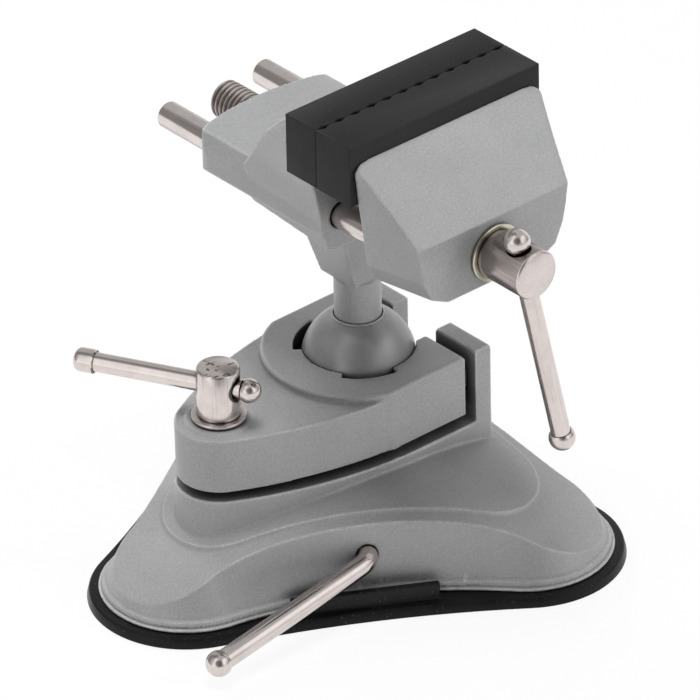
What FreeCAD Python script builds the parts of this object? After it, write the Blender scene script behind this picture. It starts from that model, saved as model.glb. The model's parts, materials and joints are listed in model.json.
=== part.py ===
import FreeCAD, Part
import math
import os

# Suction base vise: a three-lobed suction base, a ball clamped by a hinged plate, and a jaw head.
# Millimetres. The origin is the centre of the rubber pad's underside and +Z is up.
# +X runs from the clamp screw to the two ears, -Y is the side of the lead screw's head.

Vec = FreeCAD.Vector
up = Vec(0, 0, 1)
along_y = Vec(0, 1, 0)

# Clearances
run_fit = 0.05        # radial, shaft in bore
press_gap = 0.01      # radial, pressed parts
free_gap = 0.3        # between faces of different bodies
loose_gap = 0.6       # radial, a screw through a clearance hole
past = 1.0            # how far a cutting or joining shape runs past the face it meets

# Rubber suction pad
pad_lobe_distance = 57.5
pad_lobe_radius = 30.0
pad_waist = 55.4
pad_thickness = 3.2
pad_edge_slope = 0.8
pad_boss_radius = 15.0
pad_boss_height = 2.6
pad_skin = 1.0        # rubber left under the stud's flange
tab_length = 44.0
tab_shift = -2.0
tab_thickness = 2.2
tab_top = 8.2
tab_gap = 2.6

# Base casting
base_inset = 4.5      # rubber ledge showing around the casting
base_waist = 46.0
base_crown_distance = 59.0  # outline that the walls lean in to, at the dome's top
base_crown_radius = 11.7
base_crown_waist = 43.0
base_wall = 4.0
rim_height = 1.2
rim_overhang = 1.0
dome_radius = 147.7
dome_top = 32.7
terrace_rise = 1.0
terrace_lobe_distance = 41.6
terrace_lobe_radius = 19.6
terrace_waist = 39.9
pedestal_top = 34.2
pedestal_margin = 0.4

# Ball, neck and seat
ball_x = 9.0
ball_z = 53.0
ball_radius = 17.0
neck_radius = 7.0
neck_sink = 3.0       # how deep the neck's shoulder sits in the ball
peg_radius = 5.0
peg_length = 14.0
seat_outer_radius = 20.0
seat_rim_z = 45.0

# Clamp plate
clamp_x = -44.5
plate_nose_radius = 13.0
plate_half_width = 27.0
plate_swell_x = 2.0   # widest place of the outline, from the ball's centre
plate_end_x = 26.7
plate_bottom_z = 38.2
plate_thickness = 17.5
plate_tilt = 0.7      # degrees, nose down
hub_radius = 28.9
hub_rise = 2.4
hub_edge = 1.2
hub_hole_radius = 16.3
hub_relief_radius = 19.2
hub_relief_from = 95.0
hub_relief_to = 147.0
fork_half_gap = 10.4

# Ears of the base and the plate's hinge tongues
ear_gap = 3.9
ear_thickness = 5.9
ear_half_gap = 9.4
ear_top_z = 58.2
ear_edge = 0.9
tongue_length = 6.4
tongue_width = 8.0
tongue_height = 6.0
tongue_z = 47.0
tongue_gap = 0.5

# Clamp screw (M8)
clamp_shank_radius = 4.0
clamp_head_radius = 6.4
clamp_head_height = 15.6
head_chamfer = 0.7
clamp_bar_height = 9.3     # bar axis above the head's underside
clamp_thread_depth = 20.0
clamp_thread_relief = 4.0  # free bore below the screw's end
clamp_boss_wall = 4.5
clamp_boss_length = 20.0
clamp_washer_radius = 8.15
clamp_washer_thickness = 1.3
clamp_spot_radius = 9.75
clamp_spot_z = 55.1

# Tommy bars
bar_radius = 2.9
bar_clearance = 0.12
ball_seat = 0.6            # of a ball's radius, from its centre to the bar's end
clamp_bar_angle = 118.0    # degrees, long side seen from above
clamp_bar_long = 38.1
clamp_bar_short = 9.6
clamp_ball_radius = 3.6
clamp_cap_length = 6.4
clamp_cap_bore = 3.0
clamp_cap_edge = 2.2
lead_bar_angle = -77.0     # degrees in the XZ plane, long side
lead_bar_long = 64.6
lead_bar_short = 9.9
lead_ball_radius = 3.95

# Jaw head
seam_y = -25.0             # plane where the gripping faces meet
neck_length = 15.5
web_height = 26.0
web_lap = 7.15             # the web's top lies this far below the lead screw's axis
jaw_half_width = 36.0
metal_rise = 33.55         # rises and drops are heights from the lead screw's axis
jaw_drop = 11.15
jaw_bottom_half = 20.0
jaw_foot_bulge = 1.6
jaw_slope = 48.3           # degrees, fall of the inclined faces
rear_metal_y = -15.0
rear_top_y = -6.4          # back of the fixed jaw's top edge
rear_corner = 4.0          # width and height of the bevel at its top corners
rear_waist_half = 28.8
rear_foot_half = 25.4
rear_foot_drop = 4.65
rear_heel_drop = 8.65      # underside of the fixed jaw at the back of its slope
front_metal_y = -38.0
front_top_y = -40.2
front_shoulder_half = 35.4
front_corner = 2.2         # width and height of the bevel at its top corners
front_edge = 2.6           # bevel of the moving jaw's back corners
front_waist_half = 32.6
front_foot_half = 31.0
front_foot_drop = 0.65
front_drop = 10.3
front_face_y = -60.2
front_face_shoulder_half = 31.0
front_face_waist_half = 29.2
front_face_foot_half = 26.4
front_face_bottom_half = 17.5
front_face_drop = 9.8
waist_rise = 11.85         # where the flanks change slope
rear_block_rise = 6.7
rear_block_half_width = 26.3
rear_block_crown = 23.6
rear_block_drop = 6.6      # from its top to the widest line
rear_block_flat = 4.5      # height of the widest band
rear_block_foot_half = 21.0
rear_block_base_drop = 9.15
rear_block_end_y = 40.2
rear_block_bulge = 4.3
rear_block_corner = 8.0

# Rubber grips and the metal lips inside them
grip_rise = 5.5            # above the jaws' metal
grip_height = 19.2
rear_grip_back_y = -11.9
front_grip_back_y = -39.8
lip_thickness = 4.2
lip_reach = 4.4
lip_foot = 2.5
lip_foot_half = 27.0
lip_foot_height = 4.0
lip_top_gap = 4.6
lip_end_gap = 4.4
grip_fit = 0.15
groove_pitch = 6.0
groove_width = 4.2
groove_depth = 0.8

# Guide rods and lead screw (M12)
rod_radius = 4.1
rod_spacing = 36.4
rod_rear_y = 62.4
rod_socket_y = -54.0
rod_chamfer = 0.5
lead_radius = 5.9
lead_rear_y = 58.5
lead_head_radius = 7.5
lead_head_length = 17.0
lead_washer_radius = 8.95
lead_washer_thickness = 1.2
lead_bar_from_end = 6.1
lead_sink_depth = 2.4
clip_thickness = 1.2
clip_radius = 8.2
clip_groove = 1.0

# Neck web under the fixed jaw
web_half = 7.6
web_top_half = 14.6
web_front = 10.6
web_back = 12.6

# Suction lever and cam
lever_axis_z = 16.4
lever_heading = -120.0     # degrees, where the lever leaves the base
lever_radius = 3.05
lever_bend_at = 47.8
lever_bend_radius = 6.0
lever_arm = 58.1
lever_lean = 60.8          # degrees between shaft and arm
lever_drop = 11.5          # degrees the arm points below level at rest
lever_ball_radius = 3.9
cam_radius = 4.3
cam_throw = 1.25
cam_length = 13.0
cam_gap = 0.4
shaft_tail = 27.0
shaft_boss_wall = 3.4
shaft_boss_start = 33.0
shaft_boss_end = 40.0
lever_clip_wall = 2.2

# Stud that the cam lifts
stem_radius = 9.0
stem_top_z = 25.0
stem_eye_half_width = 6.0
stem_flange_radius = 11.5
stem_flange_thickness = 1.6
stem_lift = 2.4
guide_wall = 3.5
guide_bottom_z = 9.5

base_lobe_radius = pad_lobe_radius - base_inset
stud_foot_z = pad_thickness + pad_skin + free_gap
plate_top_z = plate_bottom_z + plate_thickness
hub_top_z = plate_top_z + hub_rise
ears_x = plate_end_x + ear_gap
ears_end_x = ears_x + ear_thickness
hinge_x = ears_x + ear_thickness / 2
tongue_y = (fork_half_gap + plate_half_width) / 2
washer_z = clamp_spot_z + free_gap
clamp_head_z = washer_z + clamp_washer_thickness
lead_washer_y = front_face_y - lead_washer_thickness
lead_head_end_y = lead_washer_y - lead_head_length
neck_foot_z = ball_z + ball_radius - neck_sink
web_bottom_z = neck_foot_z + neck_length
web_top_z = web_bottom_z + web_height
screw_z = web_top_z + web_lap
metal_top_z = screw_z + metal_rise
waist_z = screw_z + waist_rise
rear_block_top_z = screw_z + rear_block_rise
grip_top_z = metal_top_z + grip_rise
grip_bottom_z = grip_top_z - grip_height
lever_out = Vec(math.cos(math.radians(lever_heading)), math.sin(math.radians(lever_heading)), 0)
lever_side = Vec(-lever_out.y, lever_out.x, 0)
far = 4 * jaw_half_width   # longer than any piece it cuts through


def save(shape, name):
    """Write one sub-part to its own STEP file."""
    os.makedirs("parts", exist_ok=True)
    shape.exportStep("parts/" + name + ".step")
    print(name, "solids", len(shape.Solids), "volume", round(shape.Volume, 1), "valid", shape.isValid())


def polar(radius, degrees, z=0.0):
    return Vec(radius * math.cos(math.radians(degrees)), radius * math.sin(math.radians(degrees)), z)


def box(x0, x1, y0, y1, z0, z1):
    return Part.makeBox(x1 - x0, y1 - y0, z1 - z0, Vec(x0, y0, z0))


def rod(radius, start, direction, length):
    return Part.makeCylinder(radius, length, start, direction)


def post(radius, x, z0, z1):
    """Upright cylinder on the vise's middle plane."""
    return Part.makeCylinder(radius, z1 - z0, Vec(x, 0, z0))


def prism(points, direction):
    """A closed polygon swept along a direction."""
    wire = Part.makePolygon(points + [points[0]])
    return Part.Face(wire).extrude(direction)


def loft_outlines(outlines):
    wires = [Part.makePolygon(points + [points[0]]) for points in outlines]
    return Part.makeLoft(wires, True, True)


def rim_at(shape, point):
    """Closed edges centred on a point."""
    return [e for e in shape.Edges if e.isClosed() and (e.CenterOfMass - point).Length < run_fit]


def lobed_wire(lobe_distance, lobe_radius, waist, z):
    """Three round lobes joined by hollow or swelling sides, tangent all round."""
    reach = waist - lobe_distance / 2
    across = 0.75 * lobe_distance ** 2
    hollow = (across + reach ** 2 - lobe_radius ** 2) / (2 * (lobe_radius - reach))
    touch = math.copysign(lobe_radius, hollow)   # a swelling side is touched from inside
    edges = []
    for heading in (180.0, 300.0, 60.0):
        lobe = polar(lobe_distance, heading, z)
        before = polar(waist + hollow, heading - 60.0, z)
        after = polar(waist + hollow, heading + 60.0, z)
        enter = lobe + (before - lobe).normalize() * touch
        leave = lobe + (after - lobe).normalize() * touch
        tip = polar(lobe_distance + lobe_radius, heading, z)
        edges.append(Part.Arc(enter, tip, leave).toShape())
        next_lobe = polar(lobe_distance, heading + 120.0, z)
        next_enter = next_lobe + (after - next_lobe).normalize() * touch
        edges.append(Part.Arc(leave, polar(waist, heading + 60.0, z), next_enter).toShape())
    return Part.Wire(edges)


def lobed_prism(lobe_distance, lobe_radius, waist, z0, z1, inset=0.0):
    """A lobed solid, its top drawn in by inset."""
    low = lobed_wire(lobe_distance, lobe_radius, waist, z0)
    if inset == 0.0:
        return Part.Face(low).extrude(Vec(0, 0, z1 - z0))
    high = lobed_wire(lobe_distance, lobe_radius - inset, waist - inset, z1)
    return Part.makeLoft([low, high], True, True)


def leaning_walls(wall, z0):
    """The base's outline from its foot to its crown, drawn in by a wall's thickness."""
    foot = lobed_wire(pad_lobe_distance, base_lobe_radius - wall, base_waist - wall, z0)
    crown = lobed_wire(base_crown_distance, base_crown_radius - wall, base_crown_waist - wall, dome_top)
    return Part.makeLoft([foot, crown], True, True)


def dome(radius, top_z):
    return Part.makeSphere(radius, Vec(0, 0, top_z - radius))


def teardrop(margin, end_x, z0, z1):
    """The clamp plate's outline: round nose, swelling sides, straight fork."""
    nose = plate_nose_radius + margin
    half = plate_half_width + margin
    side_x = ball_x + plate_swell_x
    side = ((side_x - clamp_x) ** 2 + half ** 2 - nose ** 2) / (2 * (half - nose))
    centre = Vec(side_x, side - half, z0)
    nose_centre = Vec(clamp_x, 0, z0)
    touch = nose_centre + (nose_centre - centre).normalize() * nose
    shoulder = Vec(side_x, -half, z0)
    middle_x = (touch.x + side_x) / 2
    middle = Vec(middle_x, centre.y - math.sqrt(side ** 2 - (side_x - middle_x) ** 2), z0)
    mirrored = [Vec(p.x, -p.y, p.z) for p in (touch, middle, shoulder)]
    edges = [
        Part.Arc(touch, middle, shoulder).toShape(),
        Part.makeLine(shoulder, Vec(end_x, -half, z0)),
        Part.makeLine(Vec(end_x, -half, z0), Vec(end_x, half, z0)),
        Part.makeLine(Vec(end_x, half, z0), mirrored[2]),
        Part.Arc(mirrored[2], mirrored[1], mirrored[0]).toShape(),
        Part.Arc(mirrored[0], Vec(clamp_x - nose, 0, z0), touch).toShape(),
    ]
    return Part.Face(Part.Wire(edges)).extrude(Vec(0, 0, z1 - z0))


def lever_frame_box(out0, out1, side0, side1, z0, z1):
    """A box laid out along the lever's heading."""
    shape = box(out0, out1, side0, side1, z0, z1)
    shape.rotate(Vec(0, 0, 0), up, lever_heading)
    return shape


def on_lever_axis(radius, out0, out1, z=lever_axis_z):
    return rod(radius, lever_out * out0 + Vec(0, 0, z), lever_out, out1 - out0)


def suction_pad():
    """Flat rubber sheet with a centre boss around the stud's flange and a turned-up release tab."""
    pad = lobed_prism(pad_lobe_distance, pad_lobe_radius, pad_waist, 0, pad_thickness, pad_edge_slope)
    pad = pad.fuse(post(pad_boss_radius, 0, pad_thickness - past, pad_thickness + pad_boss_height))
    pad = pad.cut(post(stem_flange_radius + free_gap, 0, pad_thickness + pad_skin, tab_top))
    inner = base_waist + rim_overhang + tab_gap
    half = tab_length / 2
    tab = lever_frame_box(inner, inner + tab_thickness, tab_shift - half, tab_shift + half,
                          pad_thickness / 2, tab_top)
    return pad.fuse(tab).removeSplitter()


def base_shell():
    """Lobed wall under a dome, with the raised terrace, the foot rim and the plate's pedestal."""
    shell = leaning_walls(0, pad_thickness).common(dome(dome_radius, dome_top))
    terrace = lobed_prism(terrace_lobe_distance, terrace_lobe_radius, terrace_waist,
                          pad_thickness + base_wall, dome_top + terrace_rise)
    shell = shell.fuse(terrace.common(dome(dome_radius, dome_top + terrace_rise)))
    rim = lobed_prism(pad_lobe_distance, base_lobe_radius + rim_overhang, base_waist + rim_overhang,
                      pad_thickness, pad_thickness + rim_height)
    pedestal = teardrop(pedestal_margin, ears_end_x, dome_top / 2, pedestal_top)
    return shell.fuse([rim, pedestal])


def base_hollow():
    """The space under the casting, with its own lobed wall and domed ceiling."""
    return leaning_walls(base_wall, 0).common(dome(dome_radius - base_wall, dome_top - base_wall))


def base_bosses():
    """Guide tube, shaft bosses and the clamp screw's boss, all hanging from the ceiling."""
    guide_outer = stem_radius + run_fit + guide_wall
    boss_radius = lever_radius + shaft_boss_wall
    ceiling = dome_top - base_wall / 2
    guide = post(guide_outer, 0, guide_bottom_z, ceiling)
    tail = lever_frame_box(-shaft_tail - guide_wall, -guide_outer + past, -boss_radius, boss_radius,
                           guide_bottom_z, ceiling)
    near = on_lever_axis(boss_radius, shaft_boss_start, shaft_boss_end)
    hanger = lever_frame_box(shaft_boss_start, shaft_boss_end - past, -boss_radius, boss_radius,
                             lever_axis_z, dome_top - 1.5 * base_wall)
    top = pedestal_top - base_wall
    screw_boss = post(clamp_shank_radius + clamp_boss_wall, clamp_x, top - clamp_boss_length, top)
    return guide.fuse([tail, near, hanger, screw_boss])


def ears():
    """Two upright ears that hold the clamp plate's hinge tongues."""
    ear = box(ears_x, ears_end_x, ear_half_gap, plate_half_width, pedestal_top - past, ear_top_z)
    tops = [e for e in ear.Edges if e.BoundBox.ZMin > ear_top_z - run_fit]
    ear = ear.makeFillet(ear_edge, tops)
    half_width = tongue_width / 2 + tongue_gap
    half_height = tongue_height / 2 + tongue_gap
    pocket = box(ears_x - past, plate_end_x + tongue_length + tongue_gap, tongue_y - half_width,
                 tongue_y + half_width, tongue_z - half_height, tongue_z + half_height)
    ear = ear.cut(pocket)
    return [ear, ear.mirror(Vec(0, 0, 0), along_y)]


def base_casting():
    """One casting with its ball seat, ears and bores."""
    casting = base_shell().cut(base_hollow())
    casting = casting.fuse(base_bosses())
    seat = post(seat_outer_radius, ball_x, pedestal_top - past, seat_rim_z)
    casting = casting.fuse([seat] + ears())
    thread_foot = pedestal_top - clamp_thread_depth - clamp_thread_relief
    bores = [
        Part.makeSphere(ball_radius + free_gap, Vec(ball_x, 0, ball_z)),
        post(clamp_shank_radius + run_fit, clamp_x, thread_foot, pedestal_top + past),
        post(stem_radius + run_fit, 0, 0, stem_top_z + stem_lift + loose_gap),
        on_lever_axis(lever_radius + run_fit, -shaft_tail - run_fit, base_waist + base_wall),
        on_lever_axis(cam_radius + cam_throw + free_gap, -cam_length / 2 - past,
                      stem_radius + guide_wall + base_wall),
    ]
    return casting.cut(bores).removeSplitter()


def pad_stud():
    """Plunger held in the rubber: flange, stem and the eye that the cam works in."""
    stud = post(stem_flange_radius, 0, stud_foot_z, stud_foot_z + stem_flange_thickness)
    stud = stud.fuse(post(stem_radius, 0, stud_foot_z, stem_top_z))
    reach = stem_radius + past
    eye_half = cam_radius + cam_gap
    eye_z = lever_axis_z - cam_throw
    eye = lever_frame_box(-reach, reach, -stem_eye_half_width, stem_eye_half_width,
                          eye_z - eye_half, eye_z + eye_half)
    shaft_way = on_lever_axis(lever_radius + free_gap, -reach, reach)
    low_way = on_lever_axis(lever_radius + free_gap, -reach, reach, lever_axis_z - stem_lift)
    return stud.cut([eye, shaft_way, low_way])


def lever_points():
    """Bend point, direction of the arm and far end of the arm at rest."""
    bend = lever_out * lever_bend_at + Vec(0, 0, lever_axis_z)
    lean = math.radians(lever_lean)
    drop = math.radians(lever_drop)
    flat = lever_side * (-math.cos(drop)) + Vec(0, 0, -math.sin(drop))
    arm = lever_out * math.cos(lean) + flat * math.sin(lean)
    return bend, arm, bend + arm * lever_arm


def suction_lever():
    """Round rod: straight shaft, one bend and the arm."""
    bend, arm, end = lever_points()
    turn = math.radians(lever_lean)
    reach = lever_bend_radius * math.tan(turn / 2)
    start = lever_out * (-shaft_tail + free_gap) + Vec(0, 0, lever_axis_z)
    enter = bend - lever_out * reach
    leave = bend + arm * reach
    inward = (arm - lever_out * math.cos(turn)).normalize()
    centre = enter + inward * lever_bend_radius
    middle = centre + (bend - centre).normalize() * lever_bend_radius
    path = Part.Wire([
        Part.makeLine(start, enter),
        Part.Arc(enter, middle, leave).toShape(),
        Part.makeLine(leave, end - arm * (lever_ball_radius * ball_seat)),
    ])
    section = Part.Wire(Part.makeCircle(lever_radius, start, lever_out))
    return path.makePipeShell([section], True, False)


def end_ball(radius, centre, outward):
    """Ball with a flat seat towards the bar that carries it."""
    return Part.makeSphere(radius, centre, outward, -math.degrees(math.asin(ball_seat)), 90, 360)


def lever_ball():
    """Ball end on the lever's tip."""
    arm, end = lever_points()[1:]
    return end_ball(lever_ball_radius, end, arm)


def lever_cam():
    """Eccentric sleeve fixed on the shaft, its throw pointing down at rest."""
    cam = on_lever_axis(cam_radius, -cam_length / 2, cam_length / 2, lever_axis_z - cam_throw)
    return cam.cut(on_lever_axis(lever_radius + press_gap, -cam_length, cam_length))


def lever_clip():
    """Ring on the shaft behind the near boss, which keeps the shaft from pulling out."""
    at = shaft_boss_start - free_gap - clip_thickness
    ring = on_lever_axis(lever_radius + lever_clip_wall, at, at + clip_thickness)
    return ring.cut(on_lever_axis(lever_radius + press_gap, at - past, at + clip_thickness + past))


def plate_body():
    """Teardrop slab with the hub raised on it, before it is bored."""
    plate = teardrop(0, plate_end_x, plate_bottom_z, plate_top_z)
    hub = post(hub_radius, ball_x, plate_bottom_z, hub_top_z)
    fork = box(ball_x, plate_end_x, -plate_half_width, plate_half_width, plate_bottom_z, hub_top_z)
    within = box(ball_x - hub_radius, plate_end_x, -plate_half_width, plate_half_width, plate_bottom_z, hub_top_z)
    plate = plate.fuse([hub.common(within), fork]).removeSplitter()
    rims = [e for e in plate.Edges if e.BoundBox.ZMin > hub_top_z - run_fit]
    plate = plate.makeFillet(hub_edge, rims)
    spot = post(clamp_spot_radius, clamp_x, plate_top_z - past, plate_top_z + past)
    plate = plate.fuse(spot)
    plate.rotate(Vec(hinge_x, 0, tongue_z), along_y, -plate_tilt)
    return plate


def hub_reliefs():
    """Two sectors cut back behind the ball so that it can lean towards the clamp screw."""
    sectors = []
    for start in (hub_relief_from, 360.0 - hub_relief_to):
        sector = Part.makeCylinder(hub_relief_radius, 2 * ball_radius, Vec(ball_x, 0, seat_rim_z), up,
                                   hub_relief_to - hub_relief_from)
        sector.rotate(Vec(ball_x, 0, 0), up, start)
        sectors.append(sector)
    return sectors


def clamp_plate():
    """Teardrop plate with a raised hub, a relieved ball hole and an open fork."""
    above = hub_top_z + ball_radius
    below = plate_bottom_z - ball_radius
    cuts = [
        post(clamp_spot_radius + past, clamp_x, clamp_spot_z, above),
        post(clamp_shank_radius + loose_gap, clamp_x, below, above),
        post(seat_outer_radius + loose_gap, ball_x, below, seat_rim_z + past),
        Part.makeSphere(ball_radius + free_gap, Vec(ball_x, 0, ball_z)),
        post(hub_hole_radius, ball_x, ball_z, above),
        box(ball_x, plate_end_x + past, -fork_half_gap, fork_half_gap, below, above),
    ]
    plate = plate_body().cut(cuts + hub_reliefs())
    tongues = []
    for side in (-1, 1):
        y = side * tongue_y
        tongues.append(box(plate_end_x - 2 * past, plate_end_x + tongue_length, y - tongue_width / 2,
                           y + tongue_width / 2, tongue_z - tongue_height / 2, tongue_z + tongue_height / 2))
    return plate.fuse(tongues).removeSplitter()


def screw_head(radius, length, start, direction):
    head = rod(radius, start, direction, length)
    return head.makeChamfer(head_chamfer, rim_at(head, start + direction * length))


def clamp_bar_direction():
    return polar(1.0, clamp_bar_angle)


def clamp_bar_centre():
    return Vec(clamp_x, 0, clamp_head_z + clamp_bar_height)


def cross_hole(centre, direction):
    """Bore for a tommy bar, through a screw's head."""
    reach = clamp_head_radius + lead_head_radius
    return rod(bar_radius + bar_clearance, centre - direction * reach, direction, 2 * reach)


def clamp_screw():
    """Headed screw, turned by the bar through its head."""
    shank = post(clamp_shank_radius, clamp_x, pedestal_top - clamp_thread_depth, clamp_head_z + past)
    head = screw_head(clamp_head_radius, clamp_head_height, Vec(clamp_x, 0, clamp_head_z), up)
    return shank.fuse(head).cut(cross_hole(clamp_bar_centre(), clamp_bar_direction()))


def clamp_washer():
    ring = post(clamp_washer_radius, clamp_x, washer_z, washer_z + clamp_washer_thickness)
    return ring.cut(post(clamp_shank_radius + run_fit, clamp_x, washer_z - past, clamp_head_z + past))


def rod_between(centre, direction, short, long, radius):
    return rod(radius, centre - direction * short, direction, short + long)


def clamp_bar_parts():
    """Plain bar, its ball and its barrel cap."""
    centre = clamp_bar_centre()
    way = clamp_bar_direction()
    short = clamp_bar_short - clamp_ball_radius * ball_seat
    long = clamp_bar_long + clamp_cap_bore
    bar = rod_between(centre, way, short, long, bar_radius)
    room = rod_between(centre, way, short, long, bar_radius + press_gap)
    ball = end_ball(clamp_ball_radius, centre - way * clamp_bar_short, way * -1)
    cap = rod(clamp_ball_radius, centre + way * clamp_bar_long, way, clamp_cap_length)
    cap = cap.makeFillet(clamp_cap_edge, rim_at(cap, centre + way * (clamp_bar_long + clamp_cap_length)))
    return bar, ball, cap.cut(room)


def jaw_outline(y, shoulder_half, corner, waist_half, foot, bottom, inset=0.0):
    """Front view of a jaw: wide at the shoulders, tapering to a blunt foot.

    The foot and the bottom are given as half width and drop below the screw's axis.
    """
    foot = (foot[0], screw_z - foot[1])
    bottom = (bottom[0], screw_z - bottom[1])
    knee = ((foot[0] + bottom[0]) / 2 + jaw_foot_bulge, (foot[1] + bottom[1]) / 2 - jaw_foot_bulge)
    right = [(shoulder_half - corner, metal_top_z), (shoulder_half, metal_top_z - corner),
             (waist_half, waist_z), foot, knee, bottom]
    left = [(-half, z) for half, z in reversed(right)]
    return [Vec(ball_x + half - math.copysign(inset, half), y, z) for half, z in right + left]


def slope_cutter(top_y, side):
    """Everything outside a jaw's inclined face."""
    fall = math.tan(math.radians(jaw_slope))
    start = Vec(ball_x - far / 2, top_y - side * far / fall, metal_top_z + far)
    foot = Vec(ball_x - far / 2, top_y + side * far / fall, metal_top_z - far)
    corner = Vec(ball_x - far / 2, foot.y, start.z)
    return prism([start, foot, corner], Vec(far, 0, 0))


def jaw_lip(inner_y, side):
    """Metal lip that the rubber grip is pushed over, with a foot that joins it to the jaw."""
    tip_y = inner_y - side * lip_reach
    root_y = inner_y + side * lip_foot
    half = jaw_half_width - lip_end_gap
    y0, y1 = sorted((tip_y, tip_y + side * lip_thickness))
    lip = box(ball_x - half, ball_x + half, y0, y1, grip_bottom_z, grip_top_z - lip_top_gap)
    left = ball_x - lip_foot_half
    low = grip_bottom_z - lip_foot_height
    points = [Vec(left, inner_y, low), Vec(left, tip_y, grip_bottom_z), Vec(left, root_y, grip_bottom_z),
              Vec(left, root_y, low)]
    return [lip, prism(points, Vec(2 * lip_foot_half, 0, 0))]


def grip_room(inner_y, back_y, side):
    """Space that the rubber grip fills inside the metal outline."""
    y0, y1 = sorted((inner_y - side * far, back_y))
    return box(ball_x - far, ball_x + far, y0, y1, grip_bottom_z, grip_top_z + far)


def head_bores(rod_bore, from_y):
    """Bores along the jaws for the two guide rods and the lead screw."""
    bores = [rod(lead_radius + run_fit, Vec(ball_x, -far, screw_z), along_y, 2 * far)]
    for side in (-1, 1):
        bores.append(rod(rod_bore, Vec(ball_x + side * rod_spacing / 2, from_y, screw_z), along_y, far))
    return bores


def rear_block():
    """Rear body around the rods and the screw, with a bulged end."""
    wide = rear_block_half_width
    shelf = rear_block_top_z - rear_block_drop

    def section(y):
        right = [(rear_block_crown, rear_block_top_z), (wide, shelf),
                 (wide, shelf - rear_block_flat), (rear_block_foot_half, screw_z - rear_block_base_drop)]
        left = [(-half, z) for half, z in reversed(right)]
        return [Vec(ball_x + half, y, z) for half, z in right + left]

    tip_y = rear_block_end_y + rear_block_bulge
    block = loft_outlines([section(rear_metal_y), section(tip_y + past)])
    bulge_radius = (wide ** 2 + rear_block_bulge ** 2) / (2 * rear_block_bulge)
    plan = box(ball_x - wide, ball_x + wide, rear_metal_y, tip_y, 0, far)
    plan = plan.common(Part.makeCylinder(bulge_radius, far, Vec(ball_x, tip_y - bulge_radius, 0)))
    corners = [e for e in plan.Edges if e.BoundBox.YMin > rear_block_end_y - past and e.BoundBox.ZLength > past]
    return block.common(plan.makeFillet(rear_block_corner, corners))


def neck_web():
    """Tapering block from the rear body down to the neck."""
    low = [Vec(ball_x + x, y, web_bottom_z) for x, y in
           ((web_half, -web_half), (web_half, web_half), (-web_half, web_half), (-web_half, -web_half))]
    high = [Vec(ball_x + x, y, web_top_z) for x, y in
            ((web_top_half, -web_front), (web_top_half, web_back), (-web_top_half, web_back),
             (-web_top_half, -web_front))]
    return loft_outlines([low, high])


def fixed_jaw():
    """Rear jaw casting: jaw plate, rear block, neck web and neck."""
    slope_end = rear_top_y + (metal_top_z - rear_block_top_z) / math.tan(math.radians(jaw_slope))
    foot = (rear_foot_half, rear_foot_drop)
    heel_foot = (rear_foot_half, rear_foot_drop + rear_heel_drop - jaw_drop)
    outlines = [
        jaw_outline(rear_metal_y, jaw_half_width, rear_corner, rear_waist_half, foot,
                    (jaw_bottom_half, jaw_drop)),
        jaw_outline(slope_end, jaw_half_width, rear_corner, rear_waist_half, heel_foot,
                    (jaw_bottom_half, rear_heel_drop)),
    ]
    plate = loft_outlines(outlines).cut(slope_cutter(rear_top_y, 1))
    plate = plate.cut(grip_room(rear_metal_y, rear_grip_back_y, 1))
    body = plate.fuse(jaw_lip(rear_metal_y, 1) + [rear_block(), neck_web()])
    neck = post(neck_radius, ball_x, neck_foot_z, web_bottom_z + past)
    peg = post(peg_radius, ball_x, neck_foot_z - peg_length, neck_foot_z + past)
    body = body.fuse([neck, peg])
    return body.cut(head_bores(rod_radius + run_fit, rod_socket_y)).removeSplitter()


def swivel_ball():
    """Ball with a blind bore for the neck's peg."""
    ball = Part.makeSphere(ball_radius, Vec(ball_x, 0, ball_z))
    top = ball_z + 2 * ball_radius
    peg_room = post(peg_radius + run_fit, ball_x, neck_foot_z - peg_length - free_gap, top)
    return ball.cut([peg_room, post(neck_radius + run_fit, ball_x, neck_foot_z - free_gap, top)])


def moving_jaw():
    """Front jaw casting: tapering wedge with an inclined face and a blunt foot."""
    foot = (front_foot_half, front_foot_drop)
    bottom = (jaw_bottom_half, front_drop)
    outlines = [
        jaw_outline(front_metal_y, front_shoulder_half, front_corner, front_waist_half, foot, bottom,
                    front_edge),
        jaw_outline(front_metal_y - front_edge, front_shoulder_half, front_corner, front_waist_half, foot,
                    bottom),
        jaw_outline(front_face_y, front_face_shoulder_half, front_corner, front_face_waist_half,
                    (front_face_foot_half, front_foot_drop), (front_face_bottom_half, front_face_drop)),
    ]
    jaw = loft_outlines(outlines).cut(slope_cutter(front_top_y, -1))
    jaw = jaw.cut(grip_room(front_metal_y, front_grip_back_y, -1))
    jaw = jaw.fuse(jaw_lip(front_metal_y, -1))
    return jaw.cut(head_bores(rod_radius + press_gap, rod_socket_y)).removeSplitter()


def grip(inner_y, back_y, side):
    """Rubber grip: pushed over the metal lip, with upright grooves in its gripping face."""
    y0, y1 = sorted((seam_y, back_y))
    block = box(ball_x - jaw_half_width, ball_x + jaw_half_width, y0, y1, grip_bottom_z, grip_top_z)
    tip_y = inner_y - side * lip_reach
    lip0, lip1 = sorted((tip_y, tip_y + side * lip_thickness))
    half = jaw_half_width - lip_end_gap + grip_fit
    low = grip_bottom_z - past
    pocket = box(ball_x - half, ball_x + half, lip0 - grip_fit, lip1 + grip_fit, low,
                 grip_top_z - lip_top_gap + grip_fit)
    grooves = []
    count = int(2 * jaw_half_width // groove_pitch)
    for number in range(count):
        x = ball_x + (number - (count - 1) / 2) * groove_pitch
        points = [Vec(x - groove_width / 2, seam_y, low), Vec(x + groove_width / 2, seam_y, low),
                  Vec(x, seam_y + side * groove_depth, low)]
        grooves.append(prism(points, Vec(0, 0, grip_top_z - low + past)))
    return block.cut([pocket] + grooves)


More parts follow.
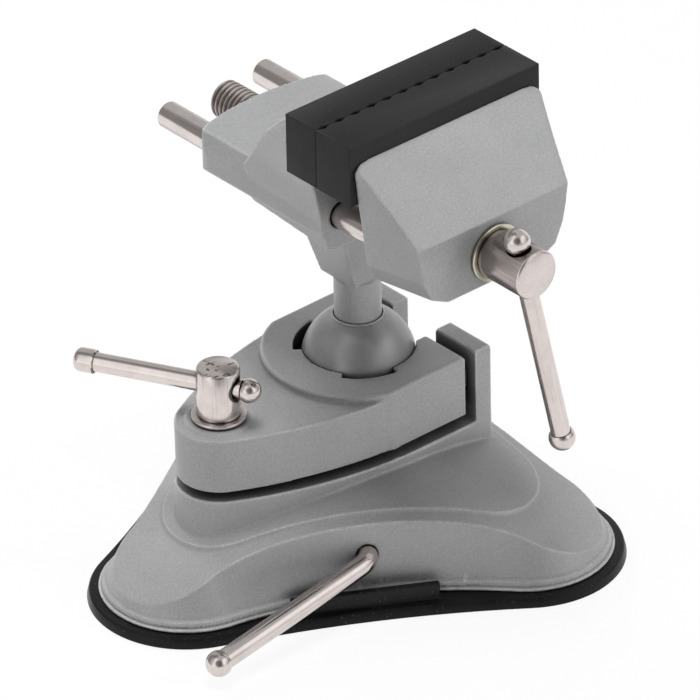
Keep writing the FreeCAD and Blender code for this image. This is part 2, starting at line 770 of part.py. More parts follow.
def guide_rod(side):
    x = ball_x + side * rod_spacing / 2
    bar = rod(rod_radius, Vec(x, rod_socket_y, screw_z), along_y, rod_rear_y - rod_socket_y)
    return bar.makeChamfer(rod_chamfer, rim_at(bar, Vec(x, rod_rear_y, screw_z)))


def lead_bar_direction():
    return Vec(math.cos(math.radians(lead_bar_angle)), 0, math.sin(math.radians(lead_bar_angle)))


def lead_bar_centre():
    return Vec(ball_x, lead_head_end_y + lead_bar_from_end, screw_z)


def lead_clip_ring(bore):
    """Retaining ring right behind the front jaw."""
    start = front_metal_y + free_gap
    ring = rod(clip_radius, Vec(ball_x, start, screw_z), along_y, clip_thickness)
    return ring.cut(rod(bore, Vec(ball_x, start - past, screw_z), along_y, clip_thickness + 2 * past))


def lead_screw():
    """Lead screw with its drilled round head."""
    start = Vec(ball_x, lead_washer_y, screw_z)
    shank = rod(lead_radius, start, along_y, lead_rear_y - lead_washer_y)
    head = screw_head(lead_head_radius, lead_head_length, start, along_y * -1)
    cuts = [lead_clip_ring(lead_radius - clip_groove), cross_hole(lead_bar_centre(), lead_bar_direction())]
    for side in (-1, 1):
        way = lead_bar_direction() * side
        foot = lead_bar_centre() + way * (lead_head_radius - lead_sink_depth / 2)
        cuts.append(Part.makeCone(bar_radius, bar_radius + lead_sink_depth, lead_sink_depth, foot, way))
    return shank.fuse(head).cut(cuts)


def lead_washer():
    ring = rod(lead_washer_radius, Vec(ball_x, lead_washer_y, screw_z), along_y, lead_washer_thickness)
    bore = rod(lead_radius + run_fit, Vec(ball_x, lead_washer_y - past, screw_z), along_y, far)
    return ring.cut(bore)


def lead_bar_parts():
    """Plain bar with a ball at each end."""
    centre = lead_bar_centre()
    way = lead_bar_direction()
    seat = lead_ball_radius * ball_seat
    short = lead_bar_short - seat
    long = lead_bar_long - seat
    bar = rod_between(centre, way, short, long, bar_radius)
    upper = end_ball(lead_ball_radius, centre - way * lead_bar_short, way * -1)
    lower = end_ball(lead_ball_radius, centre + way * lead_bar_long, way)
    return bar, upper, lower


def main():
    save(suction_pad(), "suction_pad")
    save(base_casting(), "base_casting")
    save(pad_stud(), "pad_stud")
    save(suction_lever(), "suction_lever")
    save(lever_ball(), "lever_ball")
    save(lever_cam(), "lever_cam")
    save(lever_clip(), "lever_clip")
    save(clamp_plate(), "clamp_plate")
    save(clamp_screw(), "clamp_screw")
    save(clamp_washer(), "clamp_washer")
    bar, ball, cap = clamp_bar_parts()
    save(bar, "clamp_bar")
    save(ball, "clamp_bar_ball")
    save(cap, "clamp_bar_cap")
    save(swivel_ball(), "swivel_ball")
    save(fixed_jaw(), "fixed_jaw")
    save(moving_jaw(), "moving_jaw")
    save(grip(rear_metal_y, rear_grip_back_y, 1), "rear_grip")
    save(grip(front_metal_y, front_grip_back_y, -1), "front_grip")
    save(guide_rod(-1), "guide_rod_left")
    save(guide_rod(1), "guide_rod_right")
    save(lead_screw(), "lead_screw")
    save(lead_washer(), "lead_washer")
    save(lead_clip_ring(lead_radius - clip_groove + press_gap), "lead_clip")
    bar, upper, lower = lead_bar_parts()
    save(bar, "lead_bar")
    save(upper, "lead_bar_upper_ball")
    save(lower, "lead_bar_lower_ball")


main()
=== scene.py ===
import json
import math

import bpy
from mathutils import Matrix, Vector

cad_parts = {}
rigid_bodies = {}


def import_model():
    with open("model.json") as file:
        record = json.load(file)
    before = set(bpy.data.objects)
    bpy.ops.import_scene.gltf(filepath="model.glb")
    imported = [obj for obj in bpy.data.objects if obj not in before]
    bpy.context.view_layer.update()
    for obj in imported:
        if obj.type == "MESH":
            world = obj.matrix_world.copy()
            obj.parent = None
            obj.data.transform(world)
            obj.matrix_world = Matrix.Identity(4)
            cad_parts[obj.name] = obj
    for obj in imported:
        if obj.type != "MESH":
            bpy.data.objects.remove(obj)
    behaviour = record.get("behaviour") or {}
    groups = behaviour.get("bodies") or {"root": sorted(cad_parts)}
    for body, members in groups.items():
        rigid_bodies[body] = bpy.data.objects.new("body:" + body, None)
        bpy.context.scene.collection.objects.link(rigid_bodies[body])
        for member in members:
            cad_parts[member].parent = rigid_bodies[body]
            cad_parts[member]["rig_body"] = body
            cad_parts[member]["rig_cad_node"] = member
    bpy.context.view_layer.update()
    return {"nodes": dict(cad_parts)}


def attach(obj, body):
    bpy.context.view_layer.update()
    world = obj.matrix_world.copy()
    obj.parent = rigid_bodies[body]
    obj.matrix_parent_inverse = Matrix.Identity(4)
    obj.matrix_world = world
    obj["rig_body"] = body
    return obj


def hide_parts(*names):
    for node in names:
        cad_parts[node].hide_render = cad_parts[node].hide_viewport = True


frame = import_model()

mm = 0.001
nodes = frame["nodes"]


def pick(*objects):
    if bpy.context.object and bpy.context.object.mode != "OBJECT":
        bpy.ops.object.mode_set(mode="OBJECT")
    bpy.ops.object.select_all(action="DESELECT")
    for thing in objects:
        thing.select_set(True)
        bpy.context.view_layer.objects.active = thing


def applyAll(thing):
    pick(thing)
    for modifier in list(thing.modifiers):
        bpy.ops.object.modifier_apply(modifier=modifier.name)


def modify(thing, kind, **settings):
    modifier = thing.modifiers.new(kind.lower(), kind)
    for key, value in settings.items():
        setattr(modifier, key, value)
    return modifier


def smooth(thing, degrees=35):
    pick(thing)
    bpy.ops.object.shade_smooth_by_angle(angle=math.radians(degrees))


def settle(thing):
    # place goes into the mesh, so that the object's origin stays at the frame's
    pick(thing)
    bpy.ops.object.transform_apply(location=True, rotation=True, scale=True)


def joined(*things):
    pick(*reversed(things))
    bpy.ops.object.join()
    return things[0]


# round pieces: (radius, height) steps in millimetres, from the foot along the axis
def turned(name, profile, foot=(0, 0, 0), axis=(0, 0, 1), sides=96, ring=False):
    pick()
    radius, height = profile[0]
    bpy.ops.mesh.primitive_circle_add(vertices=sides, radius=radius * mm, fill_type="NOTHING")
    thing = bpy.context.object
    thing.name = name
    bpy.ops.object.mode_set(mode="EDIT")
    bpy.ops.mesh.select_all(action="SELECT")
    bpy.ops.transform.translate(value=(0, 0, height * mm))
    for nextRadius, nextHeight in profile[1:]:
        bpy.ops.mesh.extrude_edges_move(TRANSFORM_OT_translate={"value": (0, 0, (nextHeight - height) * mm)})
        grow = nextRadius / radius
        bpy.ops.transform.resize(value=(grow, grow, 1), center_override=(0, 0, nextHeight * mm))
        radius, height = nextRadius, nextHeight
    bpy.ops.mesh.select_all(action="DESELECT")
    bpy.ops.mesh.select_non_manifold()
    if ring:
        bpy.ops.mesh.bridge_edge_loops()
    else:
        bpy.ops.mesh.fill_holes(sides=0)
    bpy.ops.mesh.select_all(action="SELECT")
    bpy.ops.mesh.normals_make_consistent(inside=False)
    bpy.ops.object.mode_set(mode="OBJECT")
    thing.rotation_mode = "QUATERNION"
    thing.rotation_quaternion = Vector(axis).to_track_quat("Z", "Y")
    thing.location = Vector(foot) * mm
    settle(thing)
    smooth(thing)
    return thing


# corner rounded by a radius, as three steps of a profile
def roundStep(radius, height, edge, rising=True, steps=3):
    rows = []
    for step in range(steps + 1):
        angle = math.radians(90 * step / steps)
        out, up = math.cos(angle), math.sin(angle)
        if not rising:
            out, up = up, out
        sign = 1 if rising else -1
        rows.append((radius - edge + edge * out, height - sign * edge + sign * edge * up))
    return rows


def ballSteps(radius, height, start, end=90.0, steps=20):
    rows = []
    for step in range(steps + 1):
        angle = math.radians(start + (end - start) * step / steps)
        rows.append((max(radius * math.cos(angle), 0.03), height + radius * math.sin(angle)))
    return rows


def cutWith(thing, tool):
    modify(thing, "BOOLEAN", object=tool, operation="DIFFERENCE", solver="EXACT")
    applyAll(thing)
    bpy.data.objects.remove(tool)
    smooth(thing)
    return thing


def copyOf(node, name):
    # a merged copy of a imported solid, to be finished as a piece of its own
    thing = nodes[node].copy()
    thing.data = nodes[node].data.copy()
    thing.name = name
    thing.parent = None
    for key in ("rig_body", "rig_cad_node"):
        del thing[key]
    bpy.context.scene.collection.objects.link(thing)
    pick(thing)
    if thing.data.has_custom_normals:
        bpy.ops.mesh.customdata_custom_splitnormals_clear()
    bpy.ops.object.mode_set(mode="EDIT")
    bpy.ops.mesh.select_all(action="SELECT")
    bpy.ops.mesh.remove_doubles(threshold=2e-6)
    bpy.ops.object.mode_set(mode="OBJECT")
    return thing


def softenRidge(thing, start, end, reach, passes):
    # worn or generously cast edge: more rounding along one line
    start, end = Vector(start) * mm, Vector(end) * mm
    way = end - start
    group = thing.vertex_groups.new(name="ridge")
    for vertex in thing.data.vertices:
        along = min(max((vertex.co - start).dot(way) / way.length_squared, 0.0), 1.0)
        away = (vertex.co - start - way * along).length / (reach * mm)
        if away < 1.0:
            group.add([vertex.index], (1.0 - away) ** 0.5, "REPLACE")
    modify(thing, "SMOOTH", factor=0.5, iterations=passes, vertex_group="ridge")
    applyAll(thing)
    thing.vertex_groups.remove(thing.vertex_groups["ridge"])


def castFrom(node, name, voxel, passes):
    # soft-edged casting grown on the solid's own shape
    thing = copyOf(node, name)
    modify(thing, "REMESH", mode="VOXEL", voxel_size=voxel * mm, adaptivity=0.0)
    modify(thing, "SMOOTH", factor=0.5, iterations=passes)
    applyAll(thing)
    pick(thing)
    bpy.ops.object.shade_smooth()
    return thing


def swellRim(thing, foot, top, fade, amount):
    # soft ledge that runs round above the foot
    group = thing.vertex_groups.new(name="rim")
    for vertex in thing.data.vertices:
        height, outward = vertex.co.z / mm, vertex.normal.to_2d().dot(vertex.co.to_2d().normalized())
        if foot < height < fade and outward > 0.3:
            group.add([vertex.index], min((fade - height) / (fade - top), 1.0), "REPLACE")
    modify(thing, "DISPLACE", strength=amount * mm, mid_level=0.0, vertex_group="rim")
    applyAll(thing)
    thing.vertex_groups.remove(thing.vertex_groups["rim"])


def openBore(thing, radius, foot, top):
    # room for the stem that slides up and down in the guide
    for vertex in thing.data.vertices:
        away = vertex.co.to_2d().length
        if 0 < away < radius * mm and foot * mm < vertex.co.z < top * mm:
            vertex.co.xy *= radius * mm / away


def thinned(thing, keep):
    modify(thing, "DECIMATE", ratio=keep)
    applyAll(thing)
    pick(thing)
    bpy.ops.object.shade_smooth()


def moulded(node, name, edge, segments=3):
    # crisp rubber shape with small rounded edges
    thing = copyOf(node, name)
    bpy.ops.object.mode_set(mode="EDIT")
    bpy.ops.mesh.select_all(action="SELECT")
    bpy.ops.mesh.dissolve_limited(angle_limit=math.radians(1.0))
    bpy.ops.object.mode_set(mode="OBJECT")
    modify(thing, "BEVEL", width=edge * mm, segments=segments, limit_method="ANGLE", angle_limit=math.radians(28))
    applyAll(thing)
    smooth(thing, 30)
    return thing


def finishPiece(thing, material, body, slot, *replaced):
    thing.data.materials.clear()
    thing.data.materials.append(material)
    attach(thing, body)
    if replaced:
        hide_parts(*replaced)
    return thing


class Value:
    # a shader socket that takes part in sums

    def __init__(self, graph, socket):
        self.graph = graph
        self.socket = socket

    def sum(self, operation, other, swap=False):
        pair = [other, self] if swap else [self, other]
        return self.graph.node("ShaderNodeMath", {"operation": operation}, {0: pair[0], 1: pair[1]})

    def __add__(self, other):
        return self.sum("ADD", other)

    __radd__ = __add__

    def __mul__(self, other):
        return self.sum("MULTIPLY", other)

    __rmul__ = __mul__

    def __sub__(self, other):
        return self.sum("SUBTRACT", other)

    def __rsub__(self, other):
        return self.sum("SUBTRACT", other, swap=True)

    def most(self, other):
        return self.sum("MAXIMUM", other)


class Graph:
    # a node tree, with short calls for what it needs

    def __init__(self, tree):
        self.tree = tree

    def node(self, kind, settings=None, values=None, output=0):
        made = self.tree.nodes.new(kind)
        for key, value in (settings or {}).items():
            if key == "stops":
                ramp = made.color_ramp
                while len(ramp.elements) < len(value):
                    ramp.elements.new(0.5)
                for element, (position, shade) in zip(ramp.elements, value):
                    element.position = position
                    element.color = (shade, shade, shade, 1)
            else:
                setattr(made, key, value)
        for key, value in (values or {}).items():
            socket = made.inputs[key]
            if isinstance(value, Value):
                self.tree.links.new(value.socket, socket)
            else:
                socket.default_value = value
        return Value(self, made.outputs[output])

    def link(self, value, socket):
        self.tree.links.new(value.socket, socket)

    def ramp(self, factor, *stops):
        return self.node("ShaderNodeValToRGB", {"stops": stops}, {0: factor})

    def towards(self, direction, way):
        # cosine of the angle between a direction and a fixed way
        return self.node("ShaderNodeVectorMath", {"operation": "DOT_PRODUCT"}, {0: direction, 1: way}, 1)


class Finish(Graph):
    # one node material

    def __init__(self, name):
        self.material = bpy.data.materials.new(name)
        self.material.use_nodes = True
        super().__init__(self.material.node_tree)
        self.shader = self.tree.nodes["Principled BSDF"]
        self.place = self.node("ShaderNodeTexCoord", {}, {}, "Object")

    def noise(self, scale, detail=3.0, rough=0.5, where=None):
        return self.node("ShaderNodeTexNoise", {}, {"Vector": where or self.place, "Scale": scale,
                                                    "Detail": detail, "Roughness": rough})

    def lengthways(self, axis, stretch):
        # space drawn out along an axis, for marks that run with it
        turn = Vector(axis).to_track_quat("X", "Z").to_euler()
        return self.node("ShaderNodeMapping", {"vector_type": "TEXTURE"},
                         {"Vector": self.place, "Rotation": turn, "Scale": (stretch, 1, 1)})

    def mix(self, factor, first, second, blend="MIX"):
        return self.node("ShaderNodeMix", {"data_type": "RGBA", "blend_type": blend},
                         {0: factor, 6: first, 7: second}, 2)

    def bump(self, height, distance, strength=1.0, under=None):
        values = {"Height": height, "Distance": distance * mm, "Strength": strength}
        if under:
            values["Normal"] = under
        return self.node("ShaderNodeBump", {}, values)

    def edges(self):
        # below 0.5 in hollows, above 0.5 on ridges
        return self.node("ShaderNodeNewGeometry", {}, {}, "Pointiness")

    def shelter(self, reach):
        # 1 in the open, less where other faces stand close
        return self.node("ShaderNodeAmbientOcclusion", {"samples": 6}, {"Distance": reach * mm}, 1)

    def fromLine(self, point, way):
        # distance from a line, in millimetres
        away = self.node("ShaderNodeVectorMath", {"operation": "SUBTRACT"},
                         {0: self.place, 1: tuple(c * mm for c in point)})
        across = self.node("ShaderNodeVectorMath", {"operation": "CROSS_PRODUCT"}, {0: away, 1: tuple(way)})
        return self.node("ShaderNodeVectorMath", {"operation": "LENGTH"}, {0: across}, 1) * 1000

    def set(self, **sockets):
        names = {"colour": "Base Color", "rough": "Roughness", "metal": "Metallic", "normal": "Normal",
                 "coat": "Coat Weight", "coatRough": "Coat Roughness", "specular": "Specular IOR Level"}
        for key, value in sockets.items():
            socket = self.shader.inputs[names[key]]
            if isinstance(value, Value):
                self.link(value, socket)
            else:
                socket.default_value = value
        return self.material


def grey(shade, warm=0.0):
    return (shade * (1 + warm), shade, shade * (1 - warm), 1)


# the pale grey serves edge wear and painted edge highlights, the darkest grey painted shade in creases
silverPaint = {"light": grey(0.50, -0.004), "dark": grey(0.44, -0.004), "worn": grey(0.72), "creaseShade": grey(0.12),
               "flake": 1900}


def castingPaint(name, shade=1.0, metal=0.25, rough=0.44, reach=14, speckle=0.5, grain=0.5, blotch=45,
                 crevice=0.6, edgeWearAndHighlight=0.6, seam=None):
    make = Finish(name)
    flake = make.noise(silverPaint["flake"], 2, 0.7)
    cloud = make.ramp(make.noise(blotch, 4), (0.3, 0.0), (0.7, 1.0))
    colour = make.mix(cloud, silverPaint["dark"], silverPaint["light"])
    patchy = make.ramp(make.noise(160, 3), (0.35, 0.35), (0.65, 1.0))
    ridge = make.ramp(make.edges(), (0.511, 0.0), (0.536, 1.0)) * patchy
    hollow = make.ramp(make.edges(), (0.45, 1.0), (0.495, 0.0))
    # convex edges lightened towards the pale grey in patches: partly edge wear, partly a painted highlight along the
    # edges
    colour = make.mix(ridge * edgeWearAndHighlight, colour, silverPaint["worn"])
    # hollows and creases darkened towards the darkest grey: painted shade
    colour = make.mix(hollow * crevice, colour, silverPaint["creaseShade"])
    if seam:
        beside = make.fromLine(*seam[:2]) - seam[2] + make.noise(500, 2) * 0.6
        colour = make.mix(make.ramp(beside, (0.7, 0.9), (1.0, 0.0)), colour, silverPaint["worn"])
    # a shade below 1 darkens the whole colour as painted shade; the flakes give the paint its speckle
    colour = make.mix(1.0, colour, make.ramp(flake, (0.3, shade * (1 - speckle / 2)), (0.7, shade)), "MULTIPLY")
    # darker where other faces stand within reach: painted shade
    colour = make.mix(1.0, colour, make.ramp(make.shelter(reach), (0.15, 0.12), (0.65, 1.0)), "MULTIPLY")
    fine = make.bump(flake, 0.03, grain)
    return make.set(colour=colour, metal=metal, rough=make.ramp(flake, (0.2, rough - 0.06), (0.8, rough + 0.06)),
                    normal=make.bump(make.noise(420, 3), 0.06, grain, fine))


# one of the nickel tones is darker, as painted shade for the lead screw head's side
steel = {"nickel": (0.74, 0.67, 0.645, 1), "stain": (0.52, 0.45, 0.43, 1), "shadedNickel": (0.40, 0.35, 0.335, 1),
         "yellow": (0.78, 0.75, 0.60, 1), "plain": (0.5, 0.49, 0.48, 1), "streak": 1500, "stretch": 30, "crevice": 2.2}


def platedSteel(name, colour, rough, axis, lines=0.5, dingsAbove=None, socket=None):
    make = Finish(name)
    drawn = make.lengthways(axis, steel["stretch"])
    streak = make.noise(steel["streak"], 2, 0.6, where=drawn)
    cloud = make.ramp(make.noise(220, 4, 0.6), (0.4, 0.0), (0.75, 1.0))
    shade = make.mix(cloud * 0.7, colour, tuple(c * 0.84 for c in colour[:3]) + (1,))
    shade = make.mix(make.ramp(streak, (0.56, 0.0), (0.72, lines)), shade, steel["stain"])
    if dingsAbove:
        height = make.node("ShaderNodeSeparateXYZ", {}, {0: make.place}, 2) * 1000 - dingsAbove
        top = make.ramp(height, (0.0, 0.0), (0.3, 1.0))
        pits = make.ramp(make.noise(480, 2, 0.6), (0.6, 0.0), (0.64, 0.85))
        shade = make.mix(pits * top, shade, grey(0.08, 0.1))
    # darker inside a countersink round a bar: painted shade
    if socket:
        point, way, radius = socket
        inside = (make.fromLine(point, way) - radius) * 0.5 + 0.5
        shade = make.mix(1.0, shade, make.ramp(inside, (0.35, 0.12), (0.55, 1.0)), "MULTIPLY")
    # darker where other faces stand close: painted shade
    shade = make.mix(1.0, shade, make.ramp(make.shelter(steel["crevice"]), (0.3, 0.12), (0.85, 1.0)), "MULTIPLY")
    worn = make.ramp(make.noise(90, 3), (0.3, rough * 0.75), (0.75, rough * 1.6))
    return make.set(colour=shade, metal=1.0, rough=worn, normal=make.bump(streak, 0.012, 0.5))


def threadSteel():
    # grooves darkened as painted shade under crests lightened as painted highlight
    make = Finish("threadSteel")
    height = make.fromLine((lead["x"], 0, lead["z"]), (0, 1, 0)) - lead["core"]
    crest = make.ramp(height * (1 / (lead["radius"] - lead["core"])), (0.55, 0.0), (0.92, 1.0))
    colour = make.mix(crest, (0.30, 0.265, 0.25, 1), steel["nickel"])
    return make.set(colour=colour, metal=1.0, rough=make.ramp(make.noise(300, 3), (0.3, 0.28), (0.7, 0.42)))


rubberLook = {"pad": (0.005, 0.009), "grip": (0.013, 0.020), "dust": grey(0.12), "specular": 0.2}


def rubber(name, shades, rough, dust, grainSize):
    make = Finish(name)
    cloud = make.noise(110, 4)
    grain = make.noise(grainSize, 2, 0.7)
    speck = make.ramp(make.noise(1300, 1, 0.5), (0.69, 0.0), (0.76, dust))
    # edges lightened: painted highlight along the rubber's edges
    ridge = make.ramp(make.edges(), (0.53, 0.0), (0.62, 0.5))
    colour = make.mix(make.ramp(cloud, (0.35, 0.0), (0.7, 1.0)), grey(shades[0]), grey(shades[1]))
    colour = make.mix(ridge, colour, grey(shades[1] * 2.2))
    colour = make.mix(speck, colour, rubberLook["dust"])
    return make.set(colour=colour, rough=make.ramp(cloud, (0.3, rough), (0.7, rough + 0.15)),
                    specular=rubberLook["specular"], normal=make.bump(grain, 0.03, 0.4))


# the castings share one paint with different amounts of painted light: the base's edges get the strongest painted
# highlight, and the plate and fixed jaw a slightly darker copy with painted shade that reaches farther
footSilver = castingPaint("footPaint", crevice=0.35, edgeWearAndHighlight=0.95)
silver = castingPaint("silverPaint", edgeWearAndHighlight=0.25)
shadedSilver = castingPaint("shelteredPaint", shade=0.97, reach=18)
# the ball's paint is glossier, and its colour is darkened as painted shade for the ball sitting under the head
ballSilver = castingPaint("rubbedPaint", shade=0.8, metal=0.4, rough=0.34, reach=22, speckle=0.2, grain=0.15,
                          blotch=160, crevice=0.0, edgeWearAndHighlight=0.3, seam=((9.0, 0, 0), (0, 0, 1), 7.1))
plain = platedSteel("plainSteel", steel["plain"], 0.3, (0, 0, 1))
yellow = platedSteel("yellowPlate", steel["yellow"], 0.24, (0, 1, 0))
padBlack = rubber("padRubber", rubberLook["pad"], 0.26, 0.5, 2600)
gripBlack = rubber("gripRubber", rubberLook["grip"], 0.5, 0.2, 3200)
print("finishes made")


castings = {"base": (0.45, 3), "plate": (0.42, 4), "fixedJaw": (0.46, 5), "movingJaw": (0.42, 5), "ball": (0.4, 5)}
rim = {"foot": 4.5, "top": 5.6, "fade": 6.5, "amount": 0.75, "keep": 0.4}
stemRoom = {"radius": 9.4, "foot": 3.0, "top": 27.4}

baseCasting = castFrom("base_casting", "baseCasting", *castings["base"])
swellRim(baseCasting, rim["foot"], rim["top"], rim["fade"], rim["amount"])
thinned(baseCasting, rim["keep"])
openBore(baseCasting, stemRoom["radius"], stemRoom["foot"], stemRoom["top"])
finishPiece(baseCasting, footSilver, "base", "casting", "base_casting")
clampPlate = castFrom("clamp_plate", "clampPlate", *castings["plate"])
finishPiece(clampPlate, shadedSilver, "plate", "casting", "clamp_plate")
fixedJaw = castFrom("fixed_jaw", "fixedJaw", *castings["fixedJaw"])
finishPiece(fixedJaw, shadedSilver, "head", "casting", "fixed_jaw")

ridges = {"reach": 6.0, "passes": 60, "top": (35.4, -41.0, 148.0), "bottom": (31.0, -60.0, 126.8), "middle": 9.0}

movingJaw = castFrom("moving_jaw", "movingJaw", *castings["movingJaw"])
for side in (-1, 1):
    topHalf, topY, topZ = ridges["top"]
    lowHalf, lowY, lowZ = ridges["bottom"]
    softenRidge(movingJaw, (ridges["middle"] + side * topHalf, topY, topZ),
                (ridges["middle"] + side * lowHalf, lowY, lowZ), ridges["reach"], ridges["passes"])
finishPiece(movingJaw, silver, "front_jaw", "casting", "moving_jaw")
swivelBall = castFrom("swivel_ball", "swivelBall", *castings["ball"])
bead = {"centre": (9.0, 0, 53.0), "ball": 17.0, "neck": 7.12, "radius": 0.33, "steps": 10}
rise = math.sqrt(bead["ball"] ** 2 - (bead["neck"] + bead["radius"]) ** 2)
turns = [math.radians(-90 + 360 * (step + 0.5) / bead["steps"]) for step in range(bead["steps"])]
beadRing = turned("neckBead", [(bead["neck"] + bead["radius"] * (1 + math.cos(turn)), rise + bead["radius"] * math.sin(turn))
                               for turn in turns], bead["centre"], ring=True)
swivelBall = joined(swivelBall, beadRing)
finishPiece(swivelBall, ballSilver, "ball", "casting", "swivel_ball")
print("castings made")


soft = {"pad": 0.5, "grips": 0.4}

suctionPad = moulded("suction_pad", "suctionPad", soft["pad"])
finishPiece(suctionPad, padBlack, "base", "pad_rubber", "suction_pad")
rearGrip = moulded("rear_grip", "rearGrip", soft["grips"])
finishPiece(rearGrip, gripBlack, "head", "grip_rubber", "rear_grip")
frontGrip = moulded("front_grip", "frontGrip", soft["grips"])
finishPiece(frontGrip, gripBlack, "front_jaw", "grip_rubber", "front_grip")
print("rubber made")


lever = {"radius": 3.05, "heading": -120.0, "height": 16.4, "tail": -26.7, "bendAt": 47.8, "bendRadius": 6.0,
         "lean": 60.8, "drop": 11.5, "arm": 58.1, "ball": 3.9, "seat": 0.6, "bendSteps": 14}


def leverLine():
    # heading of the shaft, heading of the arm and the point where their axes meet
    heading, lean, drop = (math.radians(lever[key]) for key in ("heading", "lean", "drop"))
    out = Vector((math.cos(heading), math.sin(heading), 0))
    side = Vector((-out.y, out.x, 0))
    flat = side * -math.cos(drop) + Vector((0, 0, -math.sin(drop)))
    return out, out * math.cos(lean) + flat * math.sin(lean), out * lever["bendAt"] + Vector((0, 0, lever["height"]))


def suctionLever():
    out, arm, bend = leverLine()
    lean = math.radians(lever["lean"])
    reach = lever["bendRadius"] * math.tan(lean / 2)
    start = out * lever["tail"] + Vector((0, 0, lever["height"]))
    enter = bend - out * reach
    centre = enter + (arm - out * math.cos(lean)).normalized() * lever["bendRadius"]
    end = bend + arm * (lever["arm"] - lever["ball"] * lever["seat"])
    pick()
    bpy.ops.mesh.primitive_circle_add(vertices=64, radius=lever["radius"] * mm, fill_type="NOTHING")
    rod = bpy.context.object
    rod.name = "suctionLever"
    rod.rotation_mode = "QUATERNION"
    rod.rotation_quaternion = out.to_track_quat("Z", "Y")
    rod.location = start * mm
    settle(rod)
    bpy.ops.object.mode_set(mode="EDIT")
    bpy.ops.mesh.select_all(action="SELECT")
    bpy.ops.mesh.extrude_edges_move(TRANSFORM_OT_translate={"value": (enter - start) * mm})
    bpy.ops.mesh.spin(steps=lever["bendSteps"], angle=-lean, center=centre * mm, axis=out.cross(arm).normalized())
    bpy.ops.mesh.extrude_edges_move(TRANSFORM_OT_translate={"value": (end - bend - arm * reach) * mm})
    bpy.ops.mesh.select_all(action="SELECT")
    bpy.ops.mesh.remove_doubles(threshold=1e-6)
    bpy.ops.mesh.fill_holes(sides=0)
    bpy.ops.mesh.normals_make_consistent(inside=False)
    bpy.ops.object.mode_set(mode="OBJECT")
    smooth(rod)
    knob = turned("leverBall", ballSteps(lever["ball"], 0, -math.degrees(math.asin(lever["seat"]))),
                  bend + arm * lever["arm"], arm, sides=64)
    polished = platedSteel("leverNickel", steel["nickel"], 0.13, arm, 0.7)
    finishPiece(rod, polished, "lever", "plated_steel", "suction_lever")
    finishPiece(knob, polished, "lever", "plated_steel", "lever_ball")


suctionLever()
print("lever made")


clamp = {"x": -44.5, "foot": 56.7, "head": 6.4, "height": 15.6, "chamfer": 0.7, "shank": 4.0, "shankFoot": 14.2,
         "washer": 8.15, "washerFoot": 55.4, "washerHeight": 1.28, "washerEdge": 0.45}
clampBar = {"radius": 2.9, "angle": 118.0, "height": 9.3, "short": 9.6, "long": 38.1, "ball": 3.6, "seat": 0.6,
            "capLength": 6.4, "capEdge": 2.2, "capBore": 3.0, "hole": 3.02, "sink": 4.3, "sinkDepth": 1.3}


def clampScrew():
    foot, top = clamp["foot"], clamp["foot"] + clamp["height"]
    head, bevel, shank = clamp["head"], clamp["chamfer"], clamp["shank"]
    screw = turned("clampScrew", [(shank - 0.6, clamp["shankFoot"]), (shank, clamp["shankFoot"] + 0.6), (shank, foot)]
                   + [(head - 0.2, foot), (head, foot + 0.2), (head, top - bevel)]
                   + [(head - bevel * 0.45, top - bevel * 0.35), (head - bevel, top)], (clamp["x"], 0, 0))
    way = Vector((math.cos(math.radians(clampBar["angle"])), math.sin(math.radians(clampBar["angle"])), 0))
    middle = Vector((clamp["x"], 0, foot + clampBar["height"]))
    reach = clamp["head"] + 2
    hole = clampBar["hole"]
    wide, deep = clampBar["sink"] + 2, clampBar["sinkDepth"]
    cutWith(screw, turned("barHole", [(wide, -reach), (hole, deep - clamp["head"]), (hole, clamp["head"] - deep),
                                      (wide, reach)], middle, way, sides=64))
    bore = clamp["shank"] + 0.2
    washer = turned("clampWasher", [(bore, 0), (bore, clamp["washerHeight"])]
                    + roundStep(clamp["washer"], clamp["washerHeight"], clamp["washerEdge"])[::-1]
                    + roundStep(clamp["washer"], 0, clamp["washerEdge"], False)[::-1],
                    (clamp["x"], 0, clamp["washerFoot"]), ring=True)
    seat = clampBar["ball"] * clampBar["seat"]
    bar = turned("clampBar", [(clampBar["radius"], 0), (clampBar["radius"], clampBar["short"] - seat
                                                        + clampBar["long"] + clampBar["capBore"])],
                 middle - way * (clampBar["short"] - seat), way, sides=64)
    knob = turned("clampBarBall", ballSteps(clampBar["ball"], 0, -math.degrees(math.asin(clampBar["seat"]))),
                  middle - way * clampBar["short"], -way, sides=64)
    cap = turned("clampBarCap", [(clampBar["radius"] + 0.01, clampBar["capBore"]), (clampBar["radius"] + 0.01, 0.0),
                                 (clampBar["ball"] - 0.25, 0.0), (clampBar["ball"], 0.25)]
                 + roundStep(clampBar["ball"], clampBar["capLength"], clampBar["capEdge"], steps=8)
                 + [(0.5, clampBar["capLength"])], middle + way * clampBar["long"], way, sides=64)
    # dings on the top; the countersink round the bar is darkened as painted shade
    headPlate = platedSteel("clampNickel", steel["nickel"], 0.2, (0, 0, 1), 0.6, top - 0.4,
                            (middle, way, clampBar["sink"]))
    barPlate = platedSteel("clampBarNickel", steel["nickel"], 0.14, way, 0.5)
    finishPiece(screw, headPlate, "clamp_screw_body", "plated_steel", "clamp_screw")
    finishPiece(washer, headPlate, "washer", "plated_steel", "clamp_washer")
    finishPiece(bar, barPlate, "clamp_bar_body", "plated_steel", "clamp_bar")
    finishPiece(knob, barPlate, "clamp_bar_body", "plated_steel", "clamp_bar_ball")
    finishPiece(cap, barPlate, "clamp_bar_body", "plated_steel", "clamp_bar_cap")


clampScrew()
print("clamp screw made")


